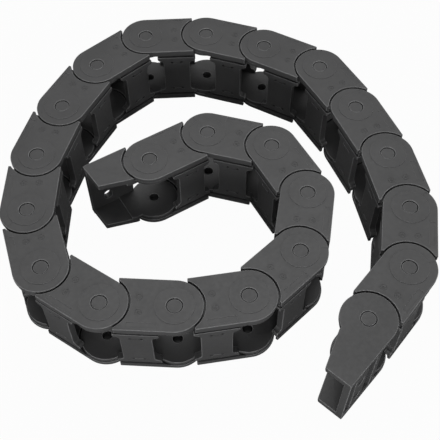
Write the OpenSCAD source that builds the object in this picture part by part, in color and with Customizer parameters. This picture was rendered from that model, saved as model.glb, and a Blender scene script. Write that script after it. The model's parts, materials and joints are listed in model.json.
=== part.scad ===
// Cable drag chain lying on its side, coiled one and a half turns.
// 21 links hinge on hollow pins between an outer and an inner end bracket.
// Lengths are in millimetres, +Z is up and every hinge axis is parallel to Z.

/* [Chain] */
// Distance from one hinge to the next
pitch = 46; // [42:1:60]
// Height of a side plate, which is the diameter of its round end
plate_height = 35.8; // [32:0.2:40]
// Overall width across both side plates
chain_width = 52; // [40:1:90]
// Largest bend that the stop lugs allow at one hinge, in degrees
max_bend = 46; // [46:1:50]

/* [Side plates] */
// Height of the round wear pad around each hinge
pad_height = 0.4; // [0.2:0.1:0.8]
// Radius of the round wear pad
pad_radius = 12.5; // [10:0.5:14]
// Thickness of the outer layer, which carries the pin hole
skin = 3.2; // [2.8:0.1:4]
// Gap between the outer layer and the tongue turning inside it
layer_gap = 0.3; // [0.2:0.1:0.5]
// Thickness of the inner layer, which carries the pin
tongue = 3.1; // [2.6:0.1:4]
// Gap between a round end and the hollow that it turns in
end_gap = 1.2; // [0.8:0.1:2]
// Where the square corners of a link start, ahead of its own pin
shoulder = 10.2; // [9.6:0.2:12]

/* [Hinge pins] */
// Radius of the pin
pin_radius = 4.75; // [4:0.25:6]
// Radial play of the pin in its hole
pin_play = 0.4; // [0.2:0.1:0.5]
// Radius of the bore that hollows the pin from inside
pin_bore = 3.3; // [2:0.1:3.5]
// How far the pin's head lies below the wear pad
pin_recess = 0.6; // [0.4:0.1:1]

/* [Crossbars] */
// Width of a crossbar along the chain
bar_width = 20; // [16:1:22]
// Thickness of a crossbar
bar_thickness = 4.8; // [4:0.2:5.4]
// Width of the foot at each end of a crossbar
foot_width = 28.6; // [25:0.2:29]
// Height of that foot
foot_height = 3.4; // [3:0.2:5]
// Radius of the fillet between foot and bar
foot_fillet = 3; // [2:0.5:4]

/* [End brackets] */
// Length of the outer bracket behind the first hinge
outer_length = 42.5; // [40:0.5:60]
// Length of the inner bracket ahead of the last hinge
inner_length = 42; // [40:0.5:60]
// Thickness of a bracket's side plates at the open end
bracket_wall = 4.6; // [4:0.2:6]
// Half the width of a screw slot
slot_radius = 2.75; // [2.25:0.25:3.5]
// Length of a screw slot from end to end
slot_length = 8.5; // [7:0.5:12]
// Distance between the two screw slots
slot_spacing = 20.4; // [16:0.2:24]

/* [Hidden] */
// Bend at each hinge as the coil lies, from the outer bracket inwards
bends = [2, 31, 20, 11, 7, 32, 11, 20, 38, 21, 12, 15, 19, 39, 30, 12, 35, 37, 38, 46, 46, 0];
link_count = len(bends) - 1;

function two_digits(i) = i < 10 ? str("0", i) : str(i);
function plates_name(i) = str("link_", two_digits(i), "_side_plates");
function bars_name(i) = str("link_", two_digits(i), "_crossbars");

$fn = 96;
plate_black = [0.17, 0.17, 0.18];
bar_black = [0.22, 0.22, 0.23];
bracket_black = [0.19, 0.19, 0.2];

// Heights above the outside of a side plate
face = pad_height;
skin_top = face + skin;
tongue_base = skin_top + layer_gap;
wall = tongue_base + tongue;
bite = 0.2; // how far joined layers run into each other
past = 1; // how far a cutting shape runs past what it cuts
tongue_step = 0.6; // how far the tongue's round edge lies inside the round end's
pin_cap = 1.4; // thickness of the pin's closed head
bar_shift = 0.3; // how far the crossbars lie ahead of a link's middle

end_radius = plate_height / 2;
hollow_radius = end_radius + end_gap;
tongue_radius = end_radius - tongue_step;
tongue_hollow = tongue_radius + end_gap;
neck_half = 14; // half the width of the tongue beside its pin
hole_radius = pin_radius + pin_play;
bar_inside = end_radius - bar_thickness;
bar_middle = pitch / 2 + bar_shift;

// Stop lugs on the tongue run in grooves of the round end that holds it
lug_inner = 8.9;
lug_outer = 12.1;
lug_half_angle = 7;
lug_height = 1.1;
groove_play = 0.3;
stop_play = 0.4;
lug_angles = [-max_bend / 2, 180 - max_bend / 2];

// Seam under the feet of the crossbars, and the pockets that their tenons sit in
seam_depth = 1.7;
seam_width = 2;
seam_base = wall - seam_width;
tenon_width = 13;
tenon_thickness = 1.7;
tenon_length = 1.8;
tenon_in = 0.2;
tenon_play = 0.15;
tenon_end_play = 0.4;
foot_chamfer = 1.2;

// Bare panel sunk in the outside of each side plate
panel = [18.4, 3.7];
panel_middle = [27, -14.25];
panel_depth = 0.3;

// Snap release at each end of a crossbar: two holes joined by a slit
release_height = 12;
release_offset = 3.6;
release_hole = 1;
release_slit = 0.6;
release_drop = 0.9;
release_depth = 3;

// Outline of the brackets: the height of the open end and of the shallow edge beside the hinge
open_end_top = 1;
corner_cut = 1;
outer_edge = [-17, 9.3];
inner_edge = [18.4, 9.2];
inner_end_top = 2.9;
inner_end_lean = 1.7;
bracket_bend = 22; // where the inner bracket's wall thins, ahead of its pin

// Mounting wall of a bracket: [start, end] of its rib, pad and end wall, from the hinge outwards
rib = [9.5, 14.5];
mount_pad = [23, 35.4];
end_wall = 1.6;
pocket_floor = 1.2;
mount_middle = (mount_pad[0] + mount_pad[1]) / 2;

// Where the pivots lie
function heading(i) = i <= 0 ? 0 : heading(i - 1) + bends[i - 1];
function along(angle) = [cos(angle), sin(angle)];
function turned(p, angle) = [p[0] * cos(angle) - p[1] * sin(angle), p[0] * sin(angle) + p[1] * cos(angle)];
function pivot(i) = i <= 1 ? [0, 0] : pivot(i - 1) + pitch * along(heading(i - 1));

// How far the coil reaches in a direction: round ends where they face it, and square corners
function corner_reach(origin, angle, corners, toward) =
    max([for (c = corners) (origin + turned(c, angle)) * along(toward)]);
function link_reach(i, toward) = max(
    corner_reach(pivot(i), heading(i), [[shoulder, -end_radius], [shoulder, end_radius]], toward),
    cos(toward - heading(i)) >= 0 ? pivot(i + 1) * along(toward) + end_radius : -1e9
);
function reach(toward) = max(
    corner_reach([0, 0], 0, [[-outer_length, -end_radius], [-outer_length, open_end_top]], toward),
    max([for (i = [1:link_count]) link_reach(i, toward)])
);
middle = [reach(0) - reach(180), reach(90) - reach(270)] / 2;

module place(i) {
    translate(concat(pivot(i) - middle, 0)) rotate(heading(i)) children();
}

module both_sides() {
    children();
    translate([0, 0, chain_width]) mirror([0, 0, 1]) children();
}

module both_edges() {
    children();
    mirror([0, 1, 0]) children();
}

module layer(from, to) {
    translate([0, 0, from]) linear_extrude(to - from) children();
}

// A shape drawn in X and Z, as thick along Y as from and to say
module upright(from, to) {
    translate([0, to, 0]) rotate([90, 0, 0]) linear_extrude(to - from) children();
}

module ring_sector(inner, outer, from, to) {
    far = 2 * outer;
    intersection() {
        difference() {
            circle(r = outer);
            circle(r = inner);
        }
        polygon([[0, 0], far * along(from), far * along((from + to) / 2), far * along(to)]);
    }
}

// Outer layer of a link: round end with the pin hole, hollowed to clear the round end behind it
module link_skin() {
    difference() {
        union() {
            translate([pitch, 0]) circle(r = end_radius);
            translate([shoulder, -end_radius]) square([pitch - shoulder, plate_height]);
        }
        circle(r = hollow_radius);
    }
}

// Inner layer of a link: tongue around its own pin, hollowed to clear the tongue ahead of it
module link_core() {
    difference() {
        union() {
            circle(r = tongue_radius);
            translate([0, -neck_half]) square([shoulder + past, 2 * neck_half]);
            translate([shoulder, -end_radius]) square([pitch - shoulder, plate_height]);
        }
        translate([pitch, 0]) circle(r = tongue_hollow);
    }
}

module pin() {
    translate([0, 0, pin_recess]) cylinder(r = pin_radius, h = wall - pin_recess);
}

module pin_hollow() {
    translate([0, 0, pin_recess + pin_cap]) cylinder(r = pin_bore, h = wall);
}

module stop_lugs() {
    for (a = lug_angles)
        layer(tongue_base - lug_height, tongue_base + bite)
            ring_sector(lug_inner, lug_outer, a - lug_half_angle, a + lug_half_angle);
}

// Cut from the round end that the tongue turns in
module stop_grooves() {
    for (a = lug_angles)
        layer(skin_top - lug_height, skin_top + past)
            ring_sector(
                lug_inner - groove_play, lug_outer + groove_play,
                a - lug_half_angle - stop_play, a + max_bend + lug_half_angle + stop_play
            );
}

module pin_hole() {
    translate([0, 0, -past]) cylinder(r = hole_radius, h = skin_top + 2 * past);
}

module tenon_pocket() {
    width = tenon_width + 2 * tenon_play;
    thickness = tenon_thickness + 2 * tenon_play;
    depth = tenon_length + tenon_end_play;
    translate([bar_middle - width / 2, -bar_inside - tenon_in + tenon_play - thickness, wall - depth])
        cube([width, thickness, depth + past]);
}

module seam() {
    translate([shoulder - past, -end_radius - past, seam_base])
        cube([pitch, seam_depth + past, wall]);
}

module side_plate() {
    difference() {
        union() {
            layer(face, skin_top) link_skin();
            translate([pitch, 0, 0]) cylinder(r = pad_radius, h = face + bite);
            layer(skin_top - bite, tongue_base + bite)
                intersection() {
                    link_skin();
                    link_core();
                }
            layer(tongue_base, wall) link_core();
            stop_lugs();
            pin();
        }
        pin_hollow();
        translate([pitch, 0, 0]) pin_hole();
        translate([pitch, 0, 0]) stop_grooves();
        both_edges() seam();
        both_edges() tenon_pocket();
        translate([panel_middle[0] - panel[0] / 2, panel_middle[1] - panel[1] / 2, -past])
            cube([panel[0], panel[1], face + panel_depth + past]);
    }
}

module side_plates() {
    color(plate_black) both_sides() side_plate();
}

// Half of a crossbar's outline, from its foot to half its length
module half_bar() {
    half_foot = foot_width / 2;
    half_bar = bar_width / 2;
    top = wall + foot_height;
    difference() {
        union() {
            polygon([
                [-half_foot, wall], [half_foot, wall], [half_foot, top - foot_chamfer],
                [half_foot - foot_chamfer, top], [foot_chamfer - half_foot, top], [-half_foot, top - foot_chamfer]
            ]);
            translate([-half_bar - foot_fillet, wall]) square([bar_width + 2 * foot_fillet, foot_height + foot_fillet]);
            translate([-half_bar, wall]) square([bar_width, chain_width / 2 - wall]);
        }
        for (side = [-1, 1])
            translate([side * (half_bar + foot_fillet), top + foot_fillet]) circle(r = foot_fillet);
    }
}

module release_cut() {
    for (side = [-1, 1]) translate([side * release_offset, 0]) {
        circle(r = release_hole);
        translate([-release_slit / 2, 0]) square([release_slit, release_drop]);
    }
    translate([-release_offset - release_slit / 2, release_drop - release_slit])
        square([2 * release_offset + release_slit, release_slit]);
}

module crossbar() {
    tenon_outside = -bar_inside - tenon_in - tenon_thickness;
    translate([bar_middle, 0, 0]) both_sides() difference() {
        union() {
            upright(-end_radius, -bar_inside) half_bar();
            translate([-tenon_width / 2, tenon_outside, wall - tenon_length])
                cube([tenon_width, tenon_thickness, tenon_length + bite]);
        }
        upright(-end_radius - past, release_depth - end_radius)
            translate([0, release_height]) release_cut();
    }
}

module crossbars() {
    color(bar_black) both_edges() crossbar();
}

// Screw slot along Z, cut through the mounting wall
module screw_slots(x) {
    straight = slot_length / 2 - slot_radius;
    for (side = [-1, 1])
        upright(-end_radius - past, past - bar_inside)
            translate([x, chain_width / 2 + side * slot_spacing / 2]) {
                translate([-slot_radius, -straight]) square([2 * slot_radius, 2 * straight]);
                for (end = [-1, 1]) translate([0, end * straight]) circle(r = slot_radius);
            }
}

// Wall on the outer side that bolts to a machine. It runs from the hinge outwards along +X.
module mounting_wall(length) {
    low = face + bite;
    high = chain_width - face - bite;
    module block(from, to, inside, outside) {
        translate([from, outside, low]) cube([to - from, inside - outside, high - low]);
    }
    difference() {
        union() {
            block(rib[0], length, -bar_inside, -bar_inside - pocket_floor);
            block(rib[0], rib[1], -bar_inside, -end_radius);
            block(mount_pad[0], mount_pad[1], -bar_inside, -end_radius);
            block(length - end_wall, length, -bar_inside, -end_radius);
        }
        screw_slots(mount_middle);
    }
}

// Cut from a mounting wall, so that the neighbouring link turns past its rib
module turning_space(radius, from, to) {
    layer(from, to) circle(r = radius);
}

module outer_plate_outline() {
    circle(r = end_radius);
    polygon([
        [0, -end_radius], [-outer_length, -end_radius], [-outer_length, open_end_top - corner_cut],
        [corner_cut - outer_length, open_end_top], outer_edge, [0, outer_edge[1]]
    ]);
}

module outer_end_bracket() {
    color(bracket_black) {
        both_sides() difference() {
            union() {
                layer(face, skin_top) outer_plate_outline();
                layer(skin_top - bite, face + bracket_wall) difference() {
                    outer_plate_outline();
                    circle(r = tongue_hollow);
                }
            }
            pin_hole();
            stop_grooves();
        }
        difference() {
            mirror([1, 0, 0]) mounting_wall(outer_length);
            both_sides() turning_space(tongue_hollow, skin_top, wall + layer_gap);
        }
    }
}

// Plate of the inner bracket, without the hollow that the last round end turns in
module inner_plate_outline(start) {
    polygon([
        [start, -end_radius], [inner_length - corner_cut, -end_radius], [inner_length, corner_cut - end_radius],
        [inner_length - inner_end_lean, inner_end_top], inner_edge, [start, inner_edge[1]]
    ]);
}

module inner_end_bracket() {
    color(bracket_black) {
        both_sides() difference() {
            union() {
                layer(face, face + bracket_wall) difference() {
                    inner_plate_outline(shoulder);
                    circle(r = hollow_radius);
                }
                layer(tongue_base, wall) {
                    circle(r = tongue_radius);
                    intersection() {
                        inner_plate_outline(0);
                        translate([0, -end_radius]) square([bracket_bend, plate_height]);
                        union() {
                            translate([0, -neck_half]) square([bracket_bend, 2 * neck_half]);
                            translate([shoulder, -end_radius]) square([bracket_bend, plate_height]);
                        }
                    }
                }
                stop_lugs();
                pin();
            }
            pin_hollow();
        }
        difference() {
            mounting_wall(inner_length);
            both_sides() turning_space(hollow_radius, -past, tongue_base);
        }
    }
}

place(1) rotate(-bends[0]) outer_end_bracket();
place(link_count + 1) inner_end_bracket();
for (i = [1:link_count]) {
    place(i) side_plates();
    place(i) crossbars();
}
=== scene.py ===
"""Looks of a coiled cable drag chain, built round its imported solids.

Every visible moulding starts from the solid that it stands for: the solid is taken into its own link's
frame, its edges are rounded, its mould marks are added, and it is seated again link by link.
Lengths are in metres, in the row frame.
"""

import json
import math

import bmesh
import bpy
from bpy.props import FloatProperty, FloatVectorProperty, PointerProperty
from mathutils import Matrix, Vector


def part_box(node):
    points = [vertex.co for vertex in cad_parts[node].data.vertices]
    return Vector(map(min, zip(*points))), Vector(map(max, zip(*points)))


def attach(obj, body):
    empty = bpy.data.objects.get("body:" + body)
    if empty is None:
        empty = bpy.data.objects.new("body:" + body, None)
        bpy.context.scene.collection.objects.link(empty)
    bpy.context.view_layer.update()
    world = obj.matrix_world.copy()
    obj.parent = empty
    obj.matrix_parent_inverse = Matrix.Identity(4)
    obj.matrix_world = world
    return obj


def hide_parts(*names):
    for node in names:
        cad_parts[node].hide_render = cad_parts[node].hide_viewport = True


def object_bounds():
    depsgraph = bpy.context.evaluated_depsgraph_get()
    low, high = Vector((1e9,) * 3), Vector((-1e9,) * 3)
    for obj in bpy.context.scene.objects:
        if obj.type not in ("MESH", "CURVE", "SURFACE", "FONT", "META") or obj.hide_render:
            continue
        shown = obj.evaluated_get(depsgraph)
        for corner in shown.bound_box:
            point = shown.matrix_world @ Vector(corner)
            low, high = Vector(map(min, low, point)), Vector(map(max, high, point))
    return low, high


bl_info = {
    "name": "Cable drag chain",
    "version": (1, 0, 0),
    "blender": (4, 5, 0),
    "location": "3D View > Sidebar > Drag chain",
    "description": "Dresses a coiled cable drag chain and lights it in a plain studio",
    "category": "Object",
}

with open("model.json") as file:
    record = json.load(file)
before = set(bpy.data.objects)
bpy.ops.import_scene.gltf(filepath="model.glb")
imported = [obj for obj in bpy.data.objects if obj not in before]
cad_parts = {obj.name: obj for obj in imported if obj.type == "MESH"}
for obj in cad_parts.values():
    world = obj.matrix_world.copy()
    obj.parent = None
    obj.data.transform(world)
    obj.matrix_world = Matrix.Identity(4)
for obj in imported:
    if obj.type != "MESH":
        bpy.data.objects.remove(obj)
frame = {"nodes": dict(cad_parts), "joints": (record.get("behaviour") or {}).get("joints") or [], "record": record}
bpy.context.view_layer.update()
CAD_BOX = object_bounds()

MM = 0.001
WELD_GAP = 0.002 * MM
FLAT_ANGLE = math.radians(0.3)  # faces that meet at less are one face
SHARP_ANGLE = math.radians(40)  # edges that turn by more are rounded
SMOOTH_ANGLE = math.radians(14)  # edges that turn by less are shaded smooth
PIVOTS = [Vector((*joint["pos_m"][:2], 0)) for joint in frame["joints"]]
LINKS = range(1, len(PIVOTS))
CHAIN_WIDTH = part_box("link_01_side_plates")[1].z
MOUNT_AXES = {mount["name"]: Vector(mount["axis"]) for mount in frame["record"]["mounts"]}

FINISHES = {}


# ---------------------------------------------------------------- settings


class ChainSizes(bpy.types.PropertyGroup):
    """Sizes that the mouldings are finished to"""

    edge_radius: FloatProperty(
        name="Edge radius", description="Rounding of the open edges", default=0.45 * MM, unit="LENGTH"
    )
    step_radius: FloatProperty(
        name="Step radius", description="Rounding of edges on low steps", default=0.22 * MM, unit="LENGTH"
    )
    crisp_radius: FloatProperty(
        name="Crisp radius", description="Rounding of the smallest edges", default=0.1 * MM, unit="LENGTH"
    )
    mark_radius: FloatProperty(
        name="Mark radius", description="Radius of the blank mould rings", default=2.3 * MM, unit="LENGTH"
    )
    mark_height: FloatProperty(
        name="Mark height", description="How far the mould rings stand up", default=0.25 * MM, unit="LENGTH"
    )


class ChainFinish(bpy.types.PropertyGroup):
    """Colours and surface of the plastic"""

    plastic: FloatVectorProperty(
        name="Plastic", description="Colour of the nylon", subtype="COLOR", size=3,
        default=(0.075, 0.075, 0.076),
    )
    # Painted highlight: a lighter colour put on the rounded edges where light would catch them
    edge_highlight: FloatVectorProperty(
        name="Painted edge highlight", description="Colour of the painted highlight on the rounded edges", subtype="COLOR", size=3,
        default=(0.22, 0.22, 0.223),
    )
    roughness: FloatProperty(
        name="Roughness", description="Roughness of the eroded mould finish", default=0.52, min=0, max=1
    )
    grain: FloatProperty(
        name="Grain", description="Depth of the eroded mould finish", default=0.012 * MM, unit="LENGTH"
    )


class ChainStudio(bpy.types.PropertyGroup):
    """Camera, lamps and floor"""

    azimuth: FloatProperty(
        name="Azimuth", description="Compass direction that the camera looks along, from +Y towards +X",
        subtype="ANGLE", default=math.radians(48.82),
    )
    elevation: FloatProperty(
        name="Elevation", description="Height of the camera above the horizon", subtype="ANGLE",
        default=math.radians(55.95),
    )
    roll: FloatProperty(
        name="Roll", description="Turn of the camera about its line of sight", subtype="ANGLE",
        default=math.radians(0.27),
    )
    distance: FloatProperty(
        name="Distance", description="From the camera to its target", default=0.5661, unit="LENGTH"
    )
    target: FloatVectorProperty(
        name="Target", description="What the camera looks at, from the middle of the chain", size=3,
        subtype="TRANSLATION", default=(-0.0129, -0.0117, 0),
    )
    lens: FloatProperty(name="Lens", description="Focal length in millimetres", default=67.6, min=10, max=200)
    floor: FloatVectorProperty(
        name="Floor", description="Colour of the floor", subtype="COLOR", size=3, default=(0.3, 0.3, 0.3)
    )
    whiteness: FloatProperty(
        name="Whiteness", description="How much of the floor the camera sees as plain white", default=0.97,
        min=0, max=1,
    )
    ambient: FloatProperty(name="Ambient", description="Strength of the even room light", default=0.12, min=0)


# ---------------------------------------------------------------- frames of the links


def heading(link):
    """Direction of a link in the plan; 0 is the outer bracket and the last is the inner one."""
    if 0 < link < len(PIVOTS):
        along = PIVOTS[link] - PIVOTS[link - 1]
    else:
        face = MOUNT_AXES["inner_end_face" if link else "outer_end_face"]
        along = Vector((-face.y, face.x, 0))
    return math.atan2(along.y, along.x)


def link_pivot(link):
    """The pivot that a link turns on: a link's own pin, and for the outer bracket the first hinge."""
    return PIVOTS[max(link, 1) - 1]


def link_frame(link):
    """From a link's own frame to the row frame."""
    return Matrix.Translation(link_pivot(link)) @ Matrix.Rotation(heading(link), 4, "Z")


# ---------------------------------------------------------------- rounding of the solids


def solid_of(node, link, keep=None):
    """A CAD node's mesh in its link's frame, as one clean bmesh; keep(centre) picks which solids stay."""
    mesh = frame["nodes"][node].data.copy()
    mesh.transform(link_frame(link).inverted())
    solid = bmesh.new()
    solid.from_mesh(mesh)
    bpy.data.meshes.remove(mesh)
    bmesh.ops.remove_doubles(solid, verts=solid.verts, dist=WELD_GAP)
    if keep:
        drop = [v for v in solid.verts if not keep(v.co)]
        bmesh.ops.delete(solid, geom=drop, context="VERTS")
    bmesh.ops.dissolve_limit(solid, angle_limit=FLAT_ANGLE, verts=solid.verts, edges=solid.edges)
    return solid


def reach_across(edge, face):
    """How far a face reaches away from one of its edges."""
    start = edge.verts[0].co
    along = (edge.verts[1].co - start).normalized()
    inward = along.cross(face.normal)
    return max(abs((v.co - start).dot(inward)) for v in face.verts)


def round_edges(solid):
    """Rounds the outside edges, each as far as the faces beside it have room, and marks the rounded faces for the
    painted edge highlight.
    """
    sizes = bpy.context.scene.chain_sizes
    # Marks the rounded faces, which get the painted edge highlight in the nylon finish
    edge_highlight = solid.loops.layers.float.new("edge_highlight")
    # room beside the edge, shortest edge, radius and segments
    steps = (
        (2.0 * MM, 0.3 * MM, sizes.edge_radius, 3),
        (0.9 * MM, 0.3 * MM, sizes.step_radius, 2),
        (0.3 * MM, 0.0, sizes.crisp_radius, 1),
    )
    done = set()
    plans = []
    for room, shortest, radius, segments in steps:
        picked = []
        for edge in solid.edges:
            if edge in done or not edge.is_convex or edge.calc_face_angle(0) < SHARP_ANGLE:
                continue
            space = min(reach_across(edge, face) for face in edge.link_faces)
            if space >= room and edge.calc_length() >= shortest:
                picked.append(edge)
                done.add(edge)
        plans.append((picked, radius, segments))
    for picked, radius, segments in plans:
        made = bmesh.ops.bevel(
            solid,
            geom=[edge for edge in picked if edge.is_valid],
            offset=radius,
            offset_type="OFFSET",
            segments=segments,
            profile=0.5,
            affect="EDGES",
            clamp_overlap=False,
            loop_slide=True,
        )
        # The new rounded faces are marked for the painted highlight
        for face in made["faces"]:
            for loop in face.loops:
                loop[edge_highlight] = 1


def mesh_of(solid, name):
    """Turns a bmesh into a mesh that is smooth where it curves and crisp where it turns."""
    mesh = bpy.data.meshes.new(name)
    solid.to_mesh(mesh)
    solid.free()
    mesh.shade_smooth()
    mesh.set_sharp_from_angle(angle=SMOOTH_ANGLE)
    return mesh


# ---------------------------------------------------------------- mould marks


def add_ring(solid, centre, outer, width, base, height):
    """A low raised ring on the outside of the lower plate, which faces down."""
    sides = 32
    profile = (
        (outer, base),
        (outer - height / 2, base - height),
        (outer - width + height / 2, base - height),
        (outer - width, base),
    )
    rings = [
        [
            solid.verts.new((
                centre[0] + radius * math.cos(2 * math.pi * k / sides),
                centre[1] + radius * math.sin(2 * math.pi * k / sides),
                z,
            ))
            for k in range(sides)
        ]
        for radius, z in profile
    ]
    for inner, following in zip(rings, rings[1:] + rings[:1]):
        for k in range(sides):
            after = (k + 1) % sides
            solid.faces.new((inner[k], following[k], following[after], inner[after]))


def add_mould_marks(solid):
    """Two blank rings between the hinges, as moulds leave them for a date and a cavity."""
    sizes = bpy.context.scene.chain_sizes
    base = 0.42 * MM  # just inside the plate, so that the rings grow out of it
    rings = ((sizes.mark_radius, 0.6 * MM), (0.9 * MM, 0.7 * MM))
    for centre in ((23.9 * MM, 4.9 * MM), (24.4 * MM, -5.2 * MM)):
        for radius, width in rings:
            add_ring(solid, centre, radius, width, base, sizes.mark_height)


# ---------------------------------------------------------------- node tree that seats the pieces


def new_input(tree, name, kind):
    return tree.interface.new_socket(name, in_out="INPUT", socket_type=kind)


def seating_tree():
    """A piece and its mirror image, turned to a link's heading and moved to its pivot."""
    tree = bpy.data.node_groups.get("Seat on link")
    if tree:
        return tree
    tree = bpy.data.node_groups.new("Seat on link", "GeometryNodeTree")
    tree.is_modifier = True
    new_input(tree, "Geometry", "NodeSocketGeometry")
    new_input(tree, "Mirror", "NodeSocketVector")
    new_input(tree, "Mirror offset", "NodeSocketVector")
    new_input(tree, "Heading", "NodeSocketFloat")
    new_input(tree, "Pivot", "NodeSocketVector")
    new_input(tree, "Finish", "NodeSocketMaterial")
    tree.interface.new_socket("Geometry", in_out="OUTPUT", socket_type="NodeSocketGeometry")
    nodes, link = tree.nodes, tree.links.new
    given = nodes.new("NodeGroupInput")
    mirrored = nodes.new("GeometryNodeTransform")
    flipped = nodes.new("GeometryNodeFlipFaces")
    first = nodes.new("GeometryNodeGeometryToInstance")
    second = nodes.new("GeometryNodeGeometryToInstance")
    both = nodes.new("GeometryNodeJoinGeometry")
    turn = nodes.new("ShaderNodeCombineXYZ")
    seated = nodes.new("GeometryNodeTransform")
    real = nodes.new("GeometryNodeRealizeInstances")
    finish = nodes.new("GeometryNodeSetMaterial")
    result = nodes.new("NodeGroupOutput")
    link(given.outputs["Geometry"], mirrored.inputs["Geometry"])
    link(given.outputs["Mirror"], mirrored.inputs["Scale"])
    link(given.outputs["Mirror offset"], mirrored.inputs["Translation"])
    link(mirrored.outputs["Geometry"], flipped.inputs["Mesh"])
    link(given.outputs["Geometry"], first.inputs["Geometry"])
    link(flipped.outputs["Mesh"], second.inputs["Geometry"])
    link(first.outputs["Instances"], both.inputs["Geometry"])
    link(second.outputs["Instances"], both.inputs["Geometry"])
    link(given.outputs["Heading"], turn.inputs["Z"])
    link(both.outputs["Geometry"], seated.inputs["Geometry"])
    link(turn.outputs["Vector"], seated.inputs["Rotation"])
    link(given.outputs["Pivot"], seated.inputs["Translation"])
    link(seated.outputs["Geometry"], real.inputs["Geometry"])
    link(real.outputs["Geometry"], finish.inputs["Geometry"])
    link(given.outputs["Finish"], finish.inputs["Material"])
    link(finish.outputs["Geometry"], result.inputs["Geometry"])
    return tree


def seat(mesh, name, link, mirror, offset, finish):
    """Evaluates the seating tree on one piece for one link and returns the plain object."""
    maker = bpy.data.objects.new(name + "_maker", mesh)
    bpy.context.scene.collection.objects.link(maker)
    modifier = maker.modifiers.new("Seat on link", "NODES")
    modifier.node_group = seating_tree()
    values = {
        "Mirror": Vector(mirror),
        "Mirror offset": Vector(offset),
        "Heading": heading(link),
        "Pivot": link_pivot(link),
        "Finish": finish,
    }
    for socket in modifier.node_group.interface.items_tree:
        if socket.in_out == "INPUT" and socket.name in values:
            modifier[socket.identifier] = values[socket.name]
    maker.update_tag()
    evaluated = maker.evaluated_get(bpy.context.evaluated_depsgraph_get())
    made = bpy.data.meshes.new_from_object(evaluated)
    made.name = name
    maker.modifiers.remove(modifier)
    bpy.data.objects.remove(maker)
    piece = bpy.data.objects.new(name, made)
    bpy.context.scene.collection.objects.link(piece)
    return piece


def own(piece, body, node):
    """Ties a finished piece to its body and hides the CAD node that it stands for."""
    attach(piece, body)
    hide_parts(node)


# ---------------------------------------------------------------- finishes


def node_of(material, kind, **values):
    """Adds a shader node and sets the inputs or settings that values name."""
    node = material.node_tree.nodes.new(kind)
    for name, value in values.items():
        label = name.replace("_", " ").capitalize()
        if label in node.inputs:
            node.inputs[label].default_value = value
        else:
            setattr(node, name, value)
    return node


def spread(material, noise, low, high, start=0.3, end=0.7):
    """Maps a noise from start and end to low and high."""
    node = node_of(material, "ShaderNodeMapRange", clamp=True)
    for label, value in (("From Min", start), ("From Max", end), ("To Min", low), ("To Max", high)):
        node.inputs[label].default_value = value
    material.node_tree.links.new(noise.outputs["Fac"], node.inputs["Value"])
    return node


def black_nylon(name, roughness_shift=0.0, grain_share=1.0):
    """Matt black glass-filled nylon: eroded grain, faint flow clouds, and a painted highlight that makes the
    rounded edges a little lighter, mottled by noise.
    """
    if name in FINISHES:
        return FINISHES[name]
    look = bpy.context.scene.chain_finish
    material = bpy.data.materials.new(name)
    material.use_nodes = True
    link = material.node_tree.links.new
    shader = material.node_tree.nodes["Principled BSDF"]
    place = node_of(material, "ShaderNodeTexCoord")
    clouds = node_of(material, "ShaderNodeTexNoise", scale=38.0, detail=3.0, roughness=0.55)
    # This noise varies the roughness and also mottles the painted edge highlight
    gloss_and_highlight_noise = node_of(material, "ShaderNodeTexNoise", scale=420.0, detail=4.0, roughness=0.6)
    grain = node_of(material, "ShaderNodeTexNoise", scale=2600.0, detail=2.0, roughness=0.5)
    for noise in (clouds, gloss_and_highlight_noise, grain):
        link(place.outputs["Object"], noise.inputs["Vector"])
    tone = spread(material, clouds, 0.9, 1.1)
    tinted = node_of(material, "ShaderNodeVectorMath", operation="SCALE")
    tinted.inputs[0].default_value = look.plastic
    link(tone.outputs["Result"], tinted.inputs["Scale"])
    # Painted highlight: the rounded edges are mixed towards a lighter colour, mottled by noise, where light would
    # catch them
    edge_highlight = node_of(material, "ShaderNodeAttribute", attribute_name="edge_highlight")
    highlight_mottle = spread(material, gloss_and_highlight_noise, 0.5, 1.0, start=0.35, end=0.65)
    amount = node_of(material, "ShaderNodeMath", operation="MULTIPLY")
    link(edge_highlight.outputs["Fac"], amount.inputs[0])
    link(highlight_mottle.outputs["Result"], amount.inputs[1])
    colour = node_of(material, "ShaderNodeMix", data_type="RGBA")
    link(amount.outputs["Value"], colour.inputs["Factor"])
    link(tinted.outputs["Vector"], colour.inputs["A"])
    colour.inputs["B"].default_value = (*look.edge_highlight, 1)
    link(colour.outputs["Result"], shader.inputs["Base Color"])
    roughness = look.roughness + roughness_shift
    gloss = spread(material, gloss_and_highlight_noise, roughness - 0.05, roughness + 0.06)
    link(gloss.outputs["Result"], shader.inputs["Roughness"])
    bump = node_of(material, "ShaderNodeBump", strength=1.0, distance=look.grain * grain_share)
    link(grain.outputs["Fac"], bump.inputs["Height"])
    link(bump.outputs["Normal"], shader.inputs["Normal"])
    shader.inputs["IOR"].default_value = 1.5
    FINISHES[name] = material
    return material


def white_ground(name, colour, whiteness):
    """Diffuse floor that the camera sees as white, with the chain's shadow still faintly on it."""
    material = bpy.data.materials.new(name)
    material.use_nodes = True
    nodes, link = material.node_tree.nodes, material.node_tree.links.new
    nodes.clear()
    paper = node_of(material, "ShaderNodeBsdfDiffuse")
    paper.inputs["Color"].default_value = (*colour, 1)
    glow = node_of(material, "ShaderNodeEmission", strength=1.0)
    rays = node_of(material, "ShaderNodeLightPath")
    share = node_of(material, "ShaderNodeMath", operation="MULTIPLY")
    share.inputs[1].default_value = whiteness
    mix = node_of(material, "ShaderNodeMixShader")
    out = node_of(material, "ShaderNodeOutputMaterial")
    link(rays.outputs["Is Camera Ray"], share.inputs[0])
    link(share.outputs["Value"], mix.inputs["Fac"])
    link(paper.outputs["BSDF"], mix.inputs[1])
    link(glow.outputs["Emission"], mix.inputs[2])
    link(mix.outputs["Shader"], out.inputs["Surface"])
    return material


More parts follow.
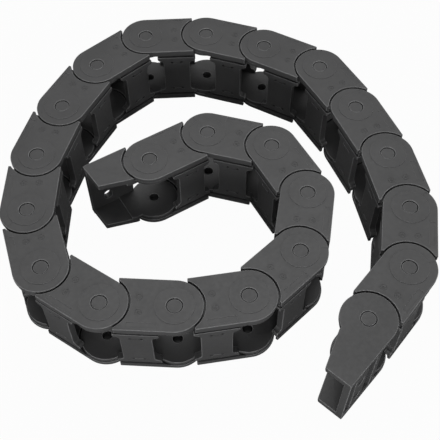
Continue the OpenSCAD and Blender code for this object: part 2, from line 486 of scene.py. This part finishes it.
def lit_room(ambient):
    """Even room light, which the camera sees as white."""
    world = bpy.data.worlds.new("Room")
    world.use_nodes = True
    nodes, link = world.node_tree.nodes, world.node_tree.links.new
    background = nodes["Background"]
    rays = nodes.new("ShaderNodeLightPath")
    strength = nodes.new("ShaderNodeMapRange")
    strength.inputs["To Min"].default_value = ambient
    strength.inputs["To Max"].default_value = 1.0
    background.inputs["Color"].default_value = (1, 1, 1, 1)
    link(rays.outputs["Is Camera Ray"], strength.inputs["Value"])
    link(strength.outputs["Result"], background.inputs["Strength"])
    return world


# ---------------------------------------------------------------- operators


class CHAIN_OT_side_plates(bpy.types.Operator):
    """Make the upper and lower side plate of every link"""

    bl_idname = "chain.side_plates"
    bl_label = "Side plates"

    def execute(self, context):
        solid = solid_of("link_01_side_plates", 1, keep=lambda point: point.z < CHAIN_WIDTH / 2)
        round_edges(solid)
        add_mould_marks(solid)
        master = mesh_of(solid, "side_plate")
        finish = black_nylon("side_plate_nylon")
        for link in LINKS:
            body = f"link_{link:02d}"
            piece = seat(master, f"{body}_plates", link, (1, 1, -1), (0, 0, CHAIN_WIDTH), finish)
            own(piece, body, f"{body}_side_plates")
        return {"FINISHED"}


class CHAIN_OT_crossbars(bpy.types.Operator):
    """Make the outer and inner crossbar of every link"""

    bl_idname = "chain.crossbars"
    bl_label = "Crossbars"

    def execute(self, context):
        solid = solid_of("link_01_crossbars", 1, keep=lambda point: point.y < 0)
        round_edges(solid)
        master = mesh_of(solid, "crossbar")
        finish = black_nylon("crossbar_nylon", roughness_shift=-0.04, grain_share=0.7)
        for link in LINKS:
            body = f"link_{link:02d}"
            piece = seat(master, f"{body}_bars", link, (1, -1, 1), (0, 0, 0), finish)
            own(piece, body, f"{body}_crossbars")
        return {"FINISHED"}


class CHAIN_OT_end_brackets(bpy.types.Operator):
    """Make the mounting bracket at each end of the chain"""

    bl_idname = "chain.end_brackets"
    bl_label = "End brackets"

    def execute(self, context):
        finish = black_nylon("bracket_nylon", roughness_shift=0.02)
        for body, link in (("outer_end", 0), ("inner_end", len(PIVOTS))):
            node = f"{body}_bracket"
            solid = solid_of(node, link)
            round_edges(solid)
            mesh = mesh_of(solid, f"{node}_moulding")
            mesh.transform(link_frame(link))
            mesh.materials.append(finish)
            piece = bpy.data.objects.new(f"{node}_moulding", mesh)
            context.scene.collection.objects.link(piece)
            own(piece, body, node)
        return {"FINISHED"}


class CHAIN_OT_studio(bpy.types.Operator):
    """Make the floor, the room light, the lamps and the camera"""

    bl_idname = "chain.studio"
    bl_label = "Studio"

    def execute(self, context):
        studio = context.scene.chain_studio
        middle = (CAD_BOX[0] + CAD_BOX[1]) / 2
        self.add_floor(context, studio)
        context.scene.world = lit_room(studio.ambient)
        self.add_lamps(context, studio, middle)
        self.add_camera(context, studio, middle)
        context.scene.view_settings.view_transform = "Standard"
        return {"FINISHED"}

    def add_floor(self, context, studio):
        half = 3.0
        drop = 0.05 * MM
        mesh = bpy.data.meshes.new("floor")
        corners = [(-half, -half, -drop), (half, -half, -drop), (half, half, -drop), (-half, half, -drop)]
        mesh.from_pydata(corners, [], [(0, 1, 2, 3)])
        mesh.materials.append(white_ground("floor_white", studio.floor, studio.whiteness))
        floor = bpy.data.objects.new("floor", mesh)
        context.scene.collection.objects.link(floor)

    def add_lamps(self, context, studio, middle):
        """Soft boxes: name, azimuth from the camera's, elevation, distance, size and power."""
        boxes = (
            ("top_box", 180, 70, 1.2, 1.0, 7.6),
            ("front_box", 0, 8, 1.0, 0.3, 3.2),
            ("front_left_box", -50, 8, 1.0, 0.3, 1.0),
            ("right_box", 95, 15, 1.0, 0.3, 1.4),
            ("front_high_box", 0, 50, 1.2, 0.8, 1.0),
        )
        for name, turn, rise, distance, size, power in boxes:
            lamp = bpy.data.lights.new(name, "AREA")
            lamp.shape = "SQUARE"
            lamp.size = size
            lamp.energy = power
            away = self.direction(studio.azimuth - math.radians(turn), math.radians(rise))
            box = bpy.data.objects.new(name, lamp)
            box.location = middle - away * distance
            box.rotation_euler = away.to_track_quat("-Z", "Y").to_euler()
            context.scene.collection.objects.link(box)

    def add_camera(self, context, studio, middle):
        away = self.direction(studio.azimuth, studio.elevation)
        camera = bpy.data.objects.new("camera", bpy.data.cameras.new("camera"))
        camera.data.sensor_width = 36
        camera.data.lens = studio.lens
        camera.location = middle + Vector(studio.target) - away * studio.distance
        level = away.to_track_quat("-Z", "Y").to_matrix()
        camera.rotation_euler = (level @ Matrix.Rotation(-studio.roll, 3, "Z")).to_euler()
        context.scene.collection.objects.link(camera)
        context.scene.camera = camera

    @staticmethod
    def direction(azimuth, elevation):
        """The way that someone at that azimuth and elevation looks towards the middle."""
        flat = math.cos(elevation)
        return Vector((math.sin(azimuth) * flat, math.cos(azimuth) * flat, -math.sin(elevation)))


OPERATORS = (CHAIN_OT_side_plates, CHAIN_OT_crossbars, CHAIN_OT_end_brackets, CHAIN_OT_studio)


class CHAIN_PT_steps(bpy.types.Panel):
    """Steps that build the chain"""

    bl_idname = "CHAIN_PT_steps"
    bl_label = "Cable drag chain"
    bl_space_type = "VIEW_3D"
    bl_region_type = "UI"
    bl_category = "Drag chain"

    def draw(self, context):
        for step in OPERATORS:
            self.layout.operator(step.bl_idname)


SETTINGS = {"chain_sizes": ChainSizes, "chain_finish": ChainFinish, "chain_studio": ChainStudio}
CLASSES = (*SETTINGS.values(), *OPERATORS, CHAIN_PT_steps)


def register():
    for cls in CLASSES:
        bpy.utils.register_class(cls)
    for name, cls in SETTINGS.items():
        setattr(bpy.types.Scene, name, PointerProperty(type=cls))


def unregister():
    for name in SETTINGS:
        delattr(bpy.types.Scene, name)
    for cls in reversed(CLASSES):
        bpy.utils.unregister_class(cls)


def main():
    register()
    bpy.ops.chain.side_plates()
    bpy.ops.chain.crossbars()
    bpy.ops.chain.end_brackets()
    bpy.ops.chain.studio()


if __name__ == "__main__":
    main()
